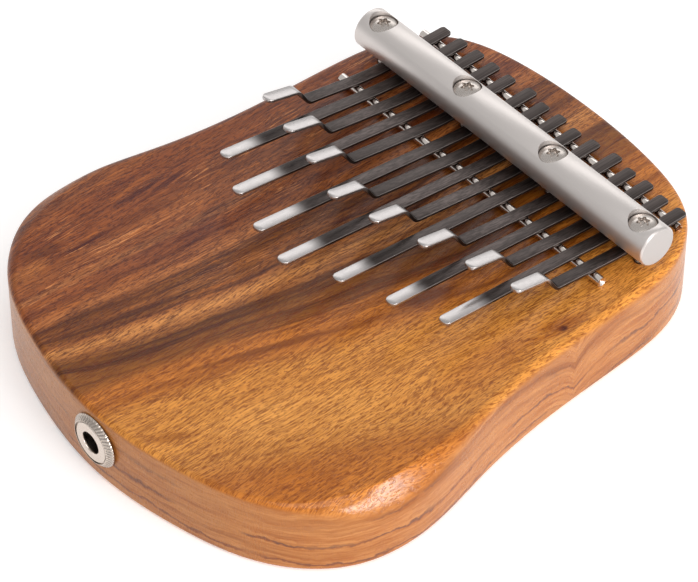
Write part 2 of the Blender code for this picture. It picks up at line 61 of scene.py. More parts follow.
# Board
OUTLINE_Z = 1.5 * MM  # height at which the CAD board has its full outline
OUTLINE_POINTS = 480
EDGE_WIDTH = 1.7 * MM  # rounded top edge at the two ends
FLANK_EDGE = 3.0 * MM  # softer top edge along the flanks
PALM_MIDDLE_Y = (-57 * MM, -46 * MM)  # carved facets of the lower bout, on the -X and +X side
PALM_REACH = (26 * MM, 30 * MM)
PALM_WIDTH = (3.8 * MM, 4.8 * MM)
PALM_DEPTH = (2.2 * MM, 7.5 * MM)
PALM_PLATEAU = 0.6  # below 1 a facet keeps its full size over more of its reach
PALM_CROWN = 1.15  # above 1 the facet swells and runs softly into the wall
BOTTOM_EDGE = 1.5 * MM
FLANK_FROM = 50 * MM  # from here to the sides the top edge softens
FLANK_FADE = 14 * MM
TOP_CORNER = 0.3 * MM  # rounding where the edge meets the top
FLAT_MARGIN = 1.2 * MM  # flat ring inside the edges, which keeps the shading clean
POCKET_HALF_WIDTH = 9.0 * MM
POCKET_Y = (-78 * MM, -28 * MM)
POCKET_CEILING_Z = 21 * MM
REBATE_MARGIN = 0.15 * MM  # gap round the back cover

# Holes and screws
SCREW_HOLE = 2.0 * MM  # radius of the clamp screws' holes
PILOT_HOLE = 1.3 * MM  # radius of the cover screws' holes in the board
JACK_HOLE = 5.05 * MM  # radius of the hole for the socket
HEAD_HEIGHT = 2.2 * MM  # clamp screw head, from its seat to its top
HEAD_MARGIN = 0.3 * MM  # gap round it

# Tines
SLOPE_MIDDLE = 7.6  # rise of the free ends in degrees, at the middle tine
SLOPE_FALL = 0.035  # degrees less per millimetre towards +X
SHORT_EXTRA_SLOPE = 1.7  # degrees more on the short tines
TAIL_SLOPE = -0.03  # rise over run behind the bar
RAISED_LENGTH = 10.4 * MM  # raised flat at the end of the short tines
RAISED_EXTRA_SLOPE = 4.0  # degrees more than the rest of the tine
JOG_RUN = 6.4 * MM
JOG_RISE = 6.2 * MM
PIVOT_AHEAD = 4.0 * MM  # the tine's pivot lies this far in front of the front rod
FLEX_HALF_LENGTH = 6.0 * MM  # the tine's path gets close points from the front rod to this far beyond the pivot
ROD_CLEARANCE = 0.3 * MM
TINE_THICKNESS = 1.0 * MM
TINE_EDGE = 0.16 * MM  # bevel along a tine's long edges
TAIL_ROUNDING = 1.1 * MM  # length over which the corners of an end are rounded
TIP_ROUNDING = 1.8 * MM
POLISHED_LENGTH = 13 * MM  # bright end of the long tines
REFLECTED_SHADE_LENGTH = 16 * MM  # length next to the bright end that painted shade and dark reflection darken
POLISH_FADE = (1.6 * MM, 7 * MM)  # short and long tines
BAR_SHADE_Y = (62, 68)  # Y between which painted shade darkens the tines towards the tail, behind the clamp bar, in mm

BODY = "frame"
NAMES = sorted(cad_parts)
TINES = [name[:-5] for name in NAMES if name.endswith("_heel")]
SCREWS = [name for name in NAMES if name.startswith("clamp_screw")]
COVER_SCREWS = [name for name in NAMES if name.startswith("cover_screw")]


def centre(node):
    return sum(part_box(node), Vector()) / 2


def size(node):
    low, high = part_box(node)
    return high - low


# Mesh helpers -------------------------

def loft(rings, closed=False):
    """Skin rings of equal length; the ends are capped unless the rings join in a loop."""
    bm = bmesh.new()
    loops = [[bm.verts.new(point) for point in ring] for ring in rings]
    count = len(loops[0])
    pairs = list(zip(loops, loops[1:]))
    if closed:
        pairs.append((loops[-1], loops[0]))
    for lower, upper in pairs:
        for i in range(count):
            j = (i + 1) % count
            bm.faces.new((lower[i], lower[j], upper[j], upper[i]))
    if not closed:
        bm.faces.new(list(reversed(loops[0])))
        bm.faces.new(loops[-1])
    return bm


def turned(profile, segments, placement, closed=False, radius_at=None):
    """Revolve (radius, height) points about local Z; radius_at can vary a ring's radius."""
    rings = []
    for k, (radius, height) in enumerate(profile):
        ring = []
        for i in range(segments):
            angle = 2 * math.pi * i / segments
            r = radius_at(k, angle, radius) if radius_at else radius
            ring.append(placement @ Vector((r * math.cos(angle), r * math.sin(angle), height)))
        rings.append(ring)
    return loft(rings, closed)


def along_x(y, z):
    """Placement whose local Z axis is world +X."""
    return Matrix.Translation((0, y, z)) @ Matrix.Rotation(math.pi / 2, 4, "Y")


def along_y(x, z):
    """Placement whose local Z axis is world +Y."""
    return Matrix.Translation((x, 0, z)) @ Matrix.Rotation(-math.pi / 2, 4, "X")


def upright(x, y):
    return Matrix.Translation((x, y, 0))


def arc(middle, radius, start, end, steps):
    """Points (a, b) on an arc; angles in degrees from the first axis."""
    a, b = middle
    angles = [math.radians(start + (end - start) * k / steps) for k in range(steps + 1)]
    return [(a + radius * math.cos(t), b + radius * math.sin(t)) for t in angles]


def rounded_box(half_x, y_range, z_range, corner, top_edge=0.0):
    """A box with rounded vertical edges and, if wanted, softened horizontal ones."""
    outline = []
    for sign_x, sign_y, start in ((1, 1, 0), (-1, 1, 90), (-1, -1, 180), (1, -1, 270)):
        y = y_range[1] - corner if sign_y > 0 else y_range[0] + corner
        outline += arc((sign_x * (half_x - corner), y), corner, start, start + 90, 8)
    middle_y = sum(y_range) / 2
    steps = [(0.0, 0.0)]
    if top_edge:
        steps = [(1.0, 0.0), (0.6, 0.08), (0.3, 0.3), (0.08, 0.6), (0.0, 1.0)]
    levels = [(inset, z_range[0] + rise * top_edge) for inset, rise in steps]
    levels += [(inset, z_range[1] - rise * top_edge) for inset, rise in reversed(steps)]
    rings = []
    for inset, z in levels:
        shrink = inset * top_edge
        rings.append([(x - math.copysign(shrink, x), y - math.copysign(shrink, y - middle_y), z)
                      for x, y in outline])
    return loft(rings)


def new_object(name, data):
    obj = bpy.data.objects.new(name, data)
    bpy.context.scene.collection.objects.link(obj)
    return obj


def make_object(name, bm, material, smooth_angle):
    bmesh.ops.recalc_face_normals(bm, faces=bm.faces)
    mesh = bpy.data.meshes.new(name)
    bm.to_mesh(mesh)
    bm.free()
    mesh.materials.append(material)
    mesh.shade_smooth()
    mesh.set_sharp_from_angle(angle=math.radians(smooth_angle))
    return new_object(name, mesh)


def settle(obj, smooth_angle=30.0):
    """Apply an object's modifiers and mark its sharp edges again."""
    bpy.context.view_layer.update()
    evaluated = obj.evaluated_get(bpy.context.evaluated_depsgraph_get())
    mesh = bpy.data.meshes.new_from_object(evaluated)
    obj.modifiers.clear()
    obj.data = mesh
    mesh.name = obj.name
    mesh.shade_smooth()
    mesh.set_sharp_from_angle(angle=math.radians(smooth_angle))


def cut(obj, *shapes):
    """Subtract shapes, none of which may overlap another, from an object."""
    bm = bmesh.new()
    for shape in shapes:
        bmesh.ops.recalc_face_normals(shape, faces=shape.faces)
        part = bpy.data.meshes.new("cutter_part")
        shape.to_mesh(part)
        shape.free()
        bm.from_mesh(part)
        bpy.data.meshes.remove(part)
    mesh = bpy.data.meshes.new("cutter")
    bm.to_mesh(mesh)
    bm.free()
    cutter = new_object("cutter", mesh)
    modifier = obj.modifiers.new("cut", "BOOLEAN")
    modifier.operation = "DIFFERENCE"
    modifier.solver = "EXACT"
    modifier.object = cutter
    settle(obj)
    bpy.data.objects.remove(cutter)
    bpy.data.meshes.remove(mesh)


def soften(obj, width):
    """Break the sharp edges of a piece with a small bevel."""
    modifier = obj.modifiers.new("soften", "BEVEL")
    modifier.width = width
    modifier.segments = 2
    modifier.limit_method = "ANGLE"
    modifier.angle_limit = math.radians(40)
    settle(obj, 35)


def finish_piece(obj, node):
    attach(obj, BODY)
    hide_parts(node)


def add_attribute(obj, name, values):
    """A number for each vertex, which a material can read."""
    obj.data.attributes.new(name, "FLOAT", "POINT").data.foreach_set("value", values)


def clamped(value):
    return min(1.0, max(0.0, value))


def threaded(profile, first, last, pitch, depth):
    """A radius_at for turned() that cuts a thread into some rings of the profile."""
    def radius_at(ring, angle, radius):
        if not first <= ring < last:
            return radius
        turn = (profile[ring][1] / pitch - angle / (2 * math.pi)) % 1.0
        return radius - depth * min(1.0, 2.6 * abs(turn - 0.5))
    return radius_at


# Material helpers ---------------------

def srgb(red, green, blue):
    """Linear colour of a screen colour given from 0 to 255."""
    linear = []
    for value in (red, green, blue):
        share = value / 255
        linear.append(share / 12.92 if share <= 0.04045 else ((share + 0.055) / 1.055) ** 2.4)
    return (*linear, 1.0)


class Value:
    """A node's output, which can be combined like a number."""

    def __init__(self, finish, socket):
        self.finish, self.socket = finish, socket

    def math(self, operation, *others):
        return self.finish.add("Math", dict(enumerate((self, *others))), operation=operation)

    def __add__(self, other):
        return self.math("ADD", other)

    def __sub__(self, other):
        return self.math("SUBTRACT", other)

    def __rsub__(self, other):
        return self.math("MULTIPLY_ADD", -1.0, other)

    def __mul__(self, other):
        return self.math("MULTIPLY", other)

    def __truediv__(self, other):
        return self.math("DIVIDE", other)

    def __abs__(self):
        return self.math("ABSOLUTE")

    def step(self, low, high, to_low=0.0, to_high=1.0):
        """Smooth step from to_low, where the value is low, to to_high, where it is high."""
        inputs = {0: self, 1: low, 2: high, 3: to_low, 4: to_high}
        return self.finish.add("MapRange", inputs, interpolation_type="SMOOTHSTEP")

    def shifted(self, noise, amount):
        return (noise - 0.5) * amount + self

    def waved(self, waves):
        """Shifted by several noises."""
        value = self
        for stretch, detail, amount in waves:
            value = value.shifted(self.finish.cloud(stretch, detail), amount)
        return value


class Finish:
    """One procedural material; most methods add a node and return its output."""

    def __init__(self, name):
        self.material = bpy.data.materials.new(name)
        self.material.use_nodes = True
        self.tree = self.material.node_tree
        scaling = {0: self.add("TexCoord", {}, "Object"), "Scale": 1 / MM}
        self.place = self.add("VectorMath", scaling, operation="SCALE")

    def feed(self, socket, value):
        if isinstance(value, Value):
            self.tree.links.new(value.socket, socket)
        else:
            socket.default_value = value

    def add(self, kind, inputs, output=0, **settings):
        node = self.tree.nodes.new("ShaderNode" + kind)
        for key, value in settings.items():
            setattr(node, key, value)
        for key, value in inputs.items():
            self.feed(node.inputs[key], value)
        return Value(self, node.outputs[output])

    def part(self, vector, axis):
        return self.add("SeparateXYZ", {0: vector}, axis)

    def join(self, *parts):
        return self.add("CombineXYZ", dict(enumerate(parts)))

    def length(self, *parts):
        return self.add("VectorMath", {0: self.join(*parts)}, "Value", operation="LENGTH")

    def noise(self, vector, detail, roughness=0.5):
        settings = {"Vector": vector, "Scale": 1.0, "Detail": detail, "Roughness": roughness}
        return self.add("TexNoise", settings, "Fac")

    def cloud(self, stretch, detail, roughness=0.5):
        """Noise with its own number of waves per millimetre along each axis."""
        vector = self.add("VectorMath", {0: self.place, 1: stretch}, operation="MULTIPLY")
        return self.noise(vector, detail, roughness)

    def ramp(self, factor, stops):
        colours = self.add("ValToRGB", {0: factor})
        elements = colours.socket.node.color_ramp.elements
        while len(elements) < len(stops):
            elements.new(0.5)
        for element, (position, colour) in zip(elements, stops):
            element.position, element.color = position, colour
        return colours

    def mix(self, factor, a, b):
        return self.add("Mix", {0: factor, 6: a, 7: b}, 2, data_type="RGBA")

    def attribute(self, name):
        return self.add("Attribute", {}, "Fac", attribute_name=name)

    def facing(self, axis):
        """How squarely the surface looks along an axis, either way; 0 is X and 2 is Z."""
        return abs(self.part(self.add("NewGeometry", {}, "Normal"), axis))

    def bump(self, height, depth, strength):
        """Bump of the given depth in metres."""
        return self.add("Bump", {"Height": height, "Distance": depth, "Strength": strength})

    def done(self, **inputs):
        for key, value in inputs.items():
            socket = self.tree.nodes["Principled BSDF"].inputs[key.replace("_", " ")]
            self.feed(socket, value)
        return self.material


# Wood ---------------------------------

FAN_X = -56.0  # the figure's lines run straight along Y here and fan out from it
FAN_Y = -50.0  # where the band places below are measured
FAN_RATE = 0.0043  # slope of a line for each millimetre from FAN_X
FAN_TOP = 25.0  # beyond this the lines run straight again
SWEEP_Y = -55.0  # nearer to the jack end the middle lines sweep towards -X
SWEEP_RATE = 0.005
BAND_SPAN = (-80.0, 80.0)  # across-grain distance that the band colours cover
BANDS = (  # across-grain place in mm, colour
    (-76, (158, 100, 62)), (-69, (150, 92, 60)), (-64, (134, 77, 51)), (-56, (143, 83, 53)),
    (-51, (126, 74, 50)), (-47, (158, 97, 62)), (-43, (146, 87, 57)), (-41, (172, 112, 72)),
    (-39, (144, 86, 58)), (-34.5, (132, 78, 53)), (-31, (160, 99, 62)), (-29, (186, 118, 72)),
    (-27, (144, 91, 58)), (-25, (112, 72, 46)), (-21, (146, 92, 56)), (-17.5, (118, 76, 48)),
    (-15, (160, 100, 60)), (-12, (207, 140, 82)), (-9, (178, 116, 68)), (-6, (112, 74, 46)),
    (3, (142, 92, 52)), (6, (184, 114, 58)), (10.5, (192, 120, 60)), (12.5, (160, 98, 52)),
    (15.5, (194, 124, 62)), (20, (210, 142, 72)), (38, (214, 146, 75)), (50, (202, 138, 74)),
    (58, (178, 113, 60)), (68, (190, 120, 62)), (78, (204, 134, 72)),
)
LINE_STRENGTH = (  # across-grain place in mm, how dark the thin lines are there
    (-76, 0.25), (-36, 0.35), (-30, 0.15), (-26, 0.7), (-16, 0.75), (-12, 0.15), (-8, 0.5),
    (-5, 0.9), (3, 0.75), (7, 0.4), (14, 0.45), (18, 0.1), (78, 0.12),
)
PATCHES = (  # x, y, half width, half length, tilt towards +X, colour, strength
    (26.5, 5, 3.6, 12, 18, (88, 54, 36), 0.85),
    (13, -42, 1.3, 30, 19, (112, 68, 40), 0.75),
    (21.5, -82, 2.4, 10, 29, (142, 84, 42), 0.6),
    (-56, -65, 2.4, 9, 4, (96, 58, 40), 0.7),
    (-52.5, -73, 3.2, 9, 0, (192, 122, 72), 0.6),
    (59, -68, 9, 17, 25, (170, 100, 50), 0.5),
    (38, -50, 10, 30, 28, (222, 158, 88), 0.45),
    (57, 2, 8, 24, 0, (180, 112, 56), 0.6),
    (59, 25, 3.6, 10, 8, (148, 84, 44), 0.7),
    (60, 25, 1.3, 1.6, 0, (66, 36, 26), 0.95),
)
REDDISH_SIDE = (-26, -8)  # across-grain places between which the wood turns from red to gold
GOLD_SIDE = (-14, 6)  # the same for its fibres and pores
KNOT_Y = 25.0  # the walls' layers dip where this knot reaches the right flank
KNOT_REACH = (35, 55)  # X between which the dip sets in
KNOT_DIP = 7.0
WALL_STOPS = (  # noise value, colour of the walls' layers
    (0.30, (122, 78, 52)), (0.42, (152, 101, 64)), (0.52, (170, 117, 74)), (0.62, (154, 100, 62)),
    (0.76, (122, 78, 54)),
)
WALL_LINES = (  # lines per mm of height, width, strength, colour
    (0.13, 0.10, 0.9, (94, 68, 60)), (0.41, 0.16, 0.4, (136, 78, 50)),
)
WALL_LINES_TOP = (20, 16)  # heights between which the walls' lines set in
FACE_TILT = (0.2, 0.7)  # upward share of the normal over which a wall turns into a face
RUBBED = (62.0, -50.0)  # middle of the glossier place on the right palm facet
RUBBED_REACH = (34, 18)  # distances from it between which the gloss sets in
RUBBED_GLOSS = 0.4

# Waviness: waves per mm along each axis, detail, millimetres of shift
FIGURE_WAVES = (
    ((0.02, 0.012, 0.02), 1.0, 6.0), ((0.10, 0.030, 0.05), 2.0, 3.4), ((0.7, 0.11, 0.3), 2.0, 0.9),
)
FIBRE_WAVES = (((0.03, 0.02, 0.0), 2.0, 8.0),)
LAYER_WAVES = (
    ((0.016, 0.016, 0.03), 1.0, 12.0), ((0.07, 0.07, 0.1), 2.0, 3.0), ((0.4, 0.4, 0.6), 2.0, 0.7),
)

WOOD_LIGHT = 0.82  # diffuse light on the board's top, against a white screen
WOOD_SHEEN = 0.024  # what the satin finish reflects on top of that


def seen(red, green, blue):
    """Base colour of wood that shows as this screen colour on the lit top of the board."""
    linear = srgb(red, green, blue)[:3]
    return (*(max(0.002, (value - WOOD_SHEEN) / WOOD_LIGHT) for value in linear), 1.0)


class Wood(Finish):
    """Wood with a fanned figure on the faces and growth layers on the walls."""

    def __init__(self, name):
        super().__init__(name)
        self.x, self.y, self.z = (self.part(self.place, axis) for axis in range(3))
        self.across = self.figure_across()
        dip = (abs(self.y - KNOT_Y) * -0.16).math("EXPONENT")
        dip = dip * self.x.step(*KNOT_REACH, 0.0, KNOT_DIP)
        self.layer = self.z.waved(LAYER_WAVES) + dip

    def figure_across(self):
        """Across-grain coordinate of the figure on the top face."""
        ahead = self.y.math("MINIMUM", FAN_TOP) - FAN_Y
        across = (self.x - FAN_X) / (ahead * FAN_RATE + 1.0) + FAN_X
        beyond = (self.y - SWEEP_Y).math("MINIMUM", 0.0)
        middle = across.step(-32, -17) * across.step(4, -10)
        return (beyond * beyond * SWEEP_RATE * middle + across).waved(FIGURE_WAVES)

    def streaks(self, across, rate, run, rise, detail, roughness=0.5):
        """Noise with its own rates across the grain, along it and with height."""
        return self.noise(self.join(across * rate, self.y * run, self.z * rise), detail, roughness)

    def layer_streaks(self, rate, run, roughness):
        """Noise that follows the growth layers round the walls."""
        place = self.join(self.x * run, self.y * run, self.layer * rate)
        return self.noise(place, 4.0, roughness)

    def figure_colour(self):
        """Bands, streaks, thin lines and patches of the faces."""
        low, high = BAND_SPAN
        factor = (self.across - low) / (high - low)
        bands = [(u, seen(*colour)) for u, colour in BANDS]
        strengths = [(u, (amount,) * 3 + (1.0,)) for u, amount in LINE_STRENGTH]
        top, strength = (
            self.ramp(factor, [((u - low) / (high - low), value) for u, value in stops])
            for stops in (bands, strengths)
        )
        reddish = self.across.step(*REDDISH_SIDE, 0.95, 0.25)
        tone = self.streaks(self.across, 0.38, 0.022, 0.2, 5.0, 0.8)
        top = self.mix(tone.step(0.51, 0.72) * reddish, top, seen(190, 112, 58))
        top = self.mix(tone.step(0.5, 0.33) * reddish, top, seen(80, 46, 33))

        # Thin pale lines, here and there
        hair = self.streaks(self.across, 0.9, 0.02, 0.2, 1.0)
        hair = 1.0 - abs(hair - 0.52).step(0.0, 0.022)
        rare = self.cloud((0.10, 0.03, 0.1), 1.0).step(0.52, 0.62)
        top = self.mix(hair * rare * reddish, top, seen(206, 136, 86))

        # Thin dark lines that follow the bands
        broad = self.streaks(self.across, 0.55, 0.008, 0.1, 2.0, 0.6).step(0.47, 0.62)
        thin = self.streaks(self.across, 1.5, 0.015, 0.2, 2.0, 0.6).step(0.36, 0.58, 0.35, 1.0)
        top = self.mix(broad * thin * strength, top, seen(62, 42, 28))
        for patch in PATCHES:
            top = self.with_patch(top, *patch)
        return top

    def with_patch(self, top, x, y, half_width, half_length, tilt, colour, amount):
        """The figure with one ragged oval patch laid over it."""
        cos, sin = math.cos(math.radians(tilt)), math.sin(math.radians(tilt))
        dx, dy = self.x - x, self.y - y
        along, aside = dx * sin + dy * cos, dx * cos - dy * sin
        reach = self.length(aside * (1 / half_width), along * (1 / half_length))
        ragged = self.noise(self.join(self.across * 0.6, self.y * 0.07, x), 2.0)
        mask = reach.shifted(ragged, 1.1).step(0.35, 1.15, amount, 0.0)
        return self.mix(mask, top, seen(*colour))

    def wall_colour(self):
        """Layers and wavy lines of the walls."""
        wall = self.ramp(self.layer_streaks(0.22, 0.012, 0.65),
                         [(value, seen(*colour)) for value, colour in WALL_STOPS])
        fading = self.cloud((0.035, 0.035, 0.1), 1.0).step(0.40, 0.54, 0.05, 1.0)
        uneven = self.cloud((0.12, 0.12, 0.2), 3.0, 0.7)
        low_part = self.z.step(*WALL_LINES_TOP)
        for rate, width, amount, colour in WALL_LINES:
            ridge = abs((self.layer.shifted(uneven, 5.0) * rate).math("FRACT") - 0.5)
            line = ridge.step(0.2 * width, width, amount, 0.0) * fading
            wall = self.mix(line * low_part, wall, seen(*colour))
        return wall


def make_wood():
    wood = Wood("board_wood")
    level = wood.facing(2).step(*FACE_TILT)
    colour = wood.mix(level, wood.wall_colour(), wood.figure_colour())

    # Fine fibre and short dark pores on the faces, straighter than the figure
    straight = wood.x.waved(FIBRE_WAVES)
    fibre = wood.streaks(straight, 2.2, 0.14, 0.5, 4.0, 0.7)
    pore = wood.streaks(straight, 3.2, 0.55, 0.5, 1.0).step(0.52, 0.62)
    in_gold = wood.across.step(*GOLD_SIDE)
    fibre_colour = wood.mix(in_gold, seen(70, 40, 26), seen(96, 54, 30))
    pore_colour = wood.mix(in_gold, seen(70, 40, 26), seen(112, 62, 28))
    colour = wood.mix(fibre.step(0.38, 0.58, 0.5, 0.0) * level, colour, fibre_colour)
    colour = wood.mix(pore * level * 0.6, colour, pore_colour)

    # Fibre along the walls' layers, and a broad mottle everywhere
    rim_fibre = wood.layer_streaks(1.7, 0.10, 0.7).step(0.36, 0.56, 0.5, 0.0)
    colour = wood.mix(rim_fibre * (1.0 - level), colour, seen(132, 78, 48))
    mottle = wood.cloud((0.09, 0.06, 0.09), 2.0).step(0.4, 0.7, 0.0, 0.12)
    colour = wood.mix(mottle, colour, seen(150, 86, 46))

    to_palm = wood.length(wood.x - RUBBED[0], wood.y - RUBBED[1])
    gloss = 1.0 - to_palm.step(*RUBBED_REACH, 0.0, RUBBED_GLOSS)
    return wood.done(
        Base_Color=colour, Roughness=fibre.step(0.2, 0.8, 0.25, 0.33) * gloss,
        Normal=wood.bump(fibre * 0.5 - pore, 0.05 * MM, 0.5), Specular_IOR_Level=0.3,
    )


# Metals and plastics ------------------

def make_tine_steel():
    """Dark spring steel, brushed; attributes mark polish, painted edge highlights and painted
    shade.
    """
    steel = Finish("tine_steel")
    brush = steel.cloud((2.6, 0.012, 2.6), 3.0, 0.6)
    dark = steel.mix(brush.step(0.35, 0.68), srgb(74, 67, 65), srgb(108, 98, 95))
    each = steel.cloud((0.11, 0.012, 0.0), 1.0).step(0.4, 0.62, 0.0, 0.45)
    dark = steel.mix(each, dark, srgb(70, 65, 63))
    # Painted shade on the tines under and behind the clamp bar
    behind = steel.part(steel.place, 1).step(*BAR_SHADE_Y, 0.0, 0.3)
    dark = steel.mix(behind, dark, srgb(48, 43, 40))
    # Painted shade and dark reflection, in a band next to the bright end
    dark = steel.mix(steel.attribute("reflected_shade") * 0.6, dark, srgb(46, 41, 39))
    scratch = steel.cloud((4.0, 0.15, 4.0), 2.0)
    bright = steel.mix(scratch, srgb(176, 171, 170), srgb(196, 191, 189))
    polish = steel.attribute("polish").step(0.0, 1.0)
    colour = steel.mix(polish, dark, bright)
    # Painted highlight along the bevelled long edges
    colour = steel.mix(steel.attribute("edge") * 0.5, colour, srgb(200, 192, 188))
    relief = brush * (1.0 - polish * 0.85)
    return steel.done(Base_Color=colour, Metallic=1.0,
                      Roughness=brush.step(0.2, 0.8, 0.36, 0.44) - polish * 0.1,
                      Normal=steel.bump(relief, 0.006 * MM, 0.5))


def make_metal(name, light, dark, roughness, grain, depth, wear=0.1, dull_shaded_ends=0.0, recess_shade_amount=0.0):
    """A metal that varies with a fine noise; its faces towards -X and +X can be darkened, partly
    for a duller cut finish and partly as painted shade, and hollows that an attribute marks get
    painted shade."""
    metal = Finish(name)
    fine = metal.cloud((grain,) * 3, 3.0, 0.6)
    worn = metal.cloud((0.12,) * 3, 2.0).step(0.35, 0.7, 0.0, wear)
    colour = metal.mix(worn, metal.mix(fine, srgb(*dark), srgb(*light)), srgb(*dark))
    # Painted shade, darker in the hollows that an attribute marks
    if recess_shade_amount:
        colour = metal.mix(metal.attribute("recess_shade") * recess_shade_amount, colour, srgb(66, 58, 50))
    # Faces towards -X and +X darker, partly for a duller cut finish and partly as painted shade
    if dull_shaded_ends:
        dull = metal.facing(0).step(0.8, 0.98, 0.0, dull_shaded_ends)
        colour = metal.mix(dull, colour, srgb(120, 116, 114))
    return metal.done(Base_Color=colour, Metallic=1.0,
                      Roughness=fine.step(0.2, 0.8, roughness - 0.05, roughness + 0.06),
                      Normal=metal.bump(fine, depth, 0.6))


def make_dull(name, light, dark, roughness, grain, depth):
    """A plastic, ceramic or sheath with a fine moulded grain."""
    dull = Finish(name)
    fine = dull.cloud((grain,) * 3, 3.0, 0.6)
    colour = dull.mix(dull.cloud((0.2,) * 3, 2.0).step(0.3, 0.7), srgb(*dark), srgb(*light))
    return dull.done(Base_Color=colour, Normal=dull.bump(fine, depth, 0.7),
                     Roughness=fine.step(0.2, 0.8, roughness - 0.06, roughness + 0.06))


WOOD = make_wood()
TINE_STEEL = make_tine_steel()
BAR_ALUMINIUM = make_metal("bar_aluminium", (226, 219, 215), (214, 207, 203), 0.42, 7.0,
                           0.004 * MM, dull_shaded_ends=0.35)
SCREW_STEEL = make_metal("screw_steel", (214, 206, 200), (186, 177, 170), 0.27, 4.0,
                         0.001 * MM, 0.3)
ROD_STEEL = make_metal("rod_steel", (240, 232, 226), (216, 206, 198), 0.16, 5.0, 0.006 * MM)
NICKEL = make_metal("jack_nickel", (226, 214, 204), (200, 186, 174), 0.2, 3.0, 0.004 * MM,
                    recess_shade_amount=0.4)
WASHER_STEEL = make_metal("washer_steel", (222, 206, 160), (196, 180, 140), 0.34, 4.0,
                          0.01 * MM, 0.3)
BRASS = make_metal("contact_brass", (222, 182, 104), (196, 150, 80), 0.3, 4.0, 0.008 * MM, 0.3)
BLACK_SCREW = make_metal("cover_screw_steel", (70, 68, 68), (40, 39, 39), 0.4, 5.0,
                         0.01 * MM, 0.3)
COVER_PLASTIC = make_dull("cover_plastic", (44, 43, 43), (32, 31, 31), 0.5, 3.5, 0.03 * MM)
INSULATOR = make_dull("insulator_plastic", (40, 38, 36), (26, 24, 22), 0.45, 4.0, 0.02 * MM)
CERAMIC = make_dull("piezo_ceramic", (226, 222, 210), (208, 202, 188), 0.5, 6.0, 0.01 * MM)
LEAD_RED = make_dull("lead_red", (170, 30, 26), (140, 20, 18), 0.45, 5.0, 0.01 * MM)
LEAD_BLACK = make_dull("lead_black", (34, 33, 33), (22, 21, 21), 0.45, 5.0, 0.01 * MM)


# Board --------------------------------

def closed_spline(anchors, count):
    """Points on a smooth closed cubic spline through the anchors."""
    anchors = np.array(anchors, float)
    n = len(anchors)
    steps = np.linalg.norm(np.roll(anchors, -1, axis=0) - anchors, axis=1)
    before = np.roll(steps, 1)
    system = np.zeros((n, n))
    for i in range(n):
        system[i, (i - 1) % n] = steps[i]
        system[i, i] = 2 * (steps[i] + before[i])
        system[i, (i + 1) % n] = before[i]
    chord = (np.roll(anchors, -1, axis=0) - anchors) / steps[:, None]
    right = 3 * (steps[:, None] * np.roll(chord, 1, axis=0) + before[:, None] * chord)
    tangents = np.linalg.solve(system, right)
    starts = np.concatenate(([0.0], np.cumsum(steps)))
    points = []
    for s in np.linspace(0, starts[-1], count, endpoint=False):
        i = min(int(np.searchsorted(starts, s, side="right")) - 1, n - 1)
        j = (i + 1) % n
        h = steps[i]
        t = (s - starts[i]) / h
        points.append(
            (2 * t**3 - 3 * t**2 + 1) * anchors[i] + (t**3 - 2 * t**2 + t) * h * tangents[i]
            + (3 * t**2 - 2 * t**3) * anchors[j] + (t**3 - t**2) * h * tangents[j]
        )
    return np.array(points)


def board_outline():
    """The CAD board's outline, read from its vertices and smoothed to many points."""
    found = set()
    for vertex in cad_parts["body_board"].data.vertices:
        if abs(vertex.co.z - OUTLINE_Z) < 0.02 * MM:
            found.add((round(vertex.co.x, 6), round(vertex.co.y, 6)))
    return closed_spline(sorted(found, key=lambda p: math.atan2(p[1], p[0])), OUTLINE_POINTS)


def outward_normals(points):
    along = np.roll(points, -1, axis=0) - np.roll(points, 1, axis=0)
    normals = np.stack((along[:, 1], -along[:, 0]), axis=1)
    return normals / np.linalg.norm(normals, axis=1)[:, None]


def edge_profile(x, y, thickness):
    """(inset, height) points from the underside, up the wall and over the top edge."""
    flank = clamped((abs(x) - FLANK_FROM) / FLANK_FADE)
    rounding = EDGE_WIDTH + (FLANK_EDGE - EDGE_WIDTH) * flank
    side = 1 if x > 0 else 0
    distance = min(1.0, abs(y - PALM_MIDDLE_Y[side]) / PALM_REACH[side])
    share = ((1 + math.cos(math.pi * distance)) / 2) ** PALM_PLATEAU
    width = rounding + (PALM_WIDTH[side] - rounding) * share
    depth = rounding + (PALM_DEPTH[side] - rounding) * share
    points = [(BOTTOM_EDGE + FLAT_MARGIN, 0.0)]
    points += arc((BOTTOM_EDGE, BOTTOM_EDGE), BOTTOM_EDGE, 270, 180, 6)
    wall_top = thickness - depth
    for k in (1, 2, 3):
        points.append((0.0, BOTTOM_EDGE + (wall_top - BOTTOM_EDGE) * k / 4))
    steps = 14
    for k in range(steps):
        t = k / steps
        quarter = t * math.pi / 2
        inset = width * (share * t**PALM_CROWN + (1 - share) * (1 - math.cos(quarter)))
        rise = depth * (share * t + (1 - share) * math.sin(quarter))
        points.append((inset, wall_top + rise))
    corner = Vector((width, thickness))
    back = Vector(points[-1]) - corner
    back = back.normalized() * min(TOP_CORNER, 0.6 * back.length)
    ahead = Vector((TOP_CORNER, 0))
    for t in (0.0, 0.33, 0.67, 1.0):
        point = corner + back * (1 - t) ** 2 + ahead * t**2
        points.append((point.x, point.y))
    points.append((width + FLAT_MARGIN, thickness))
    return points


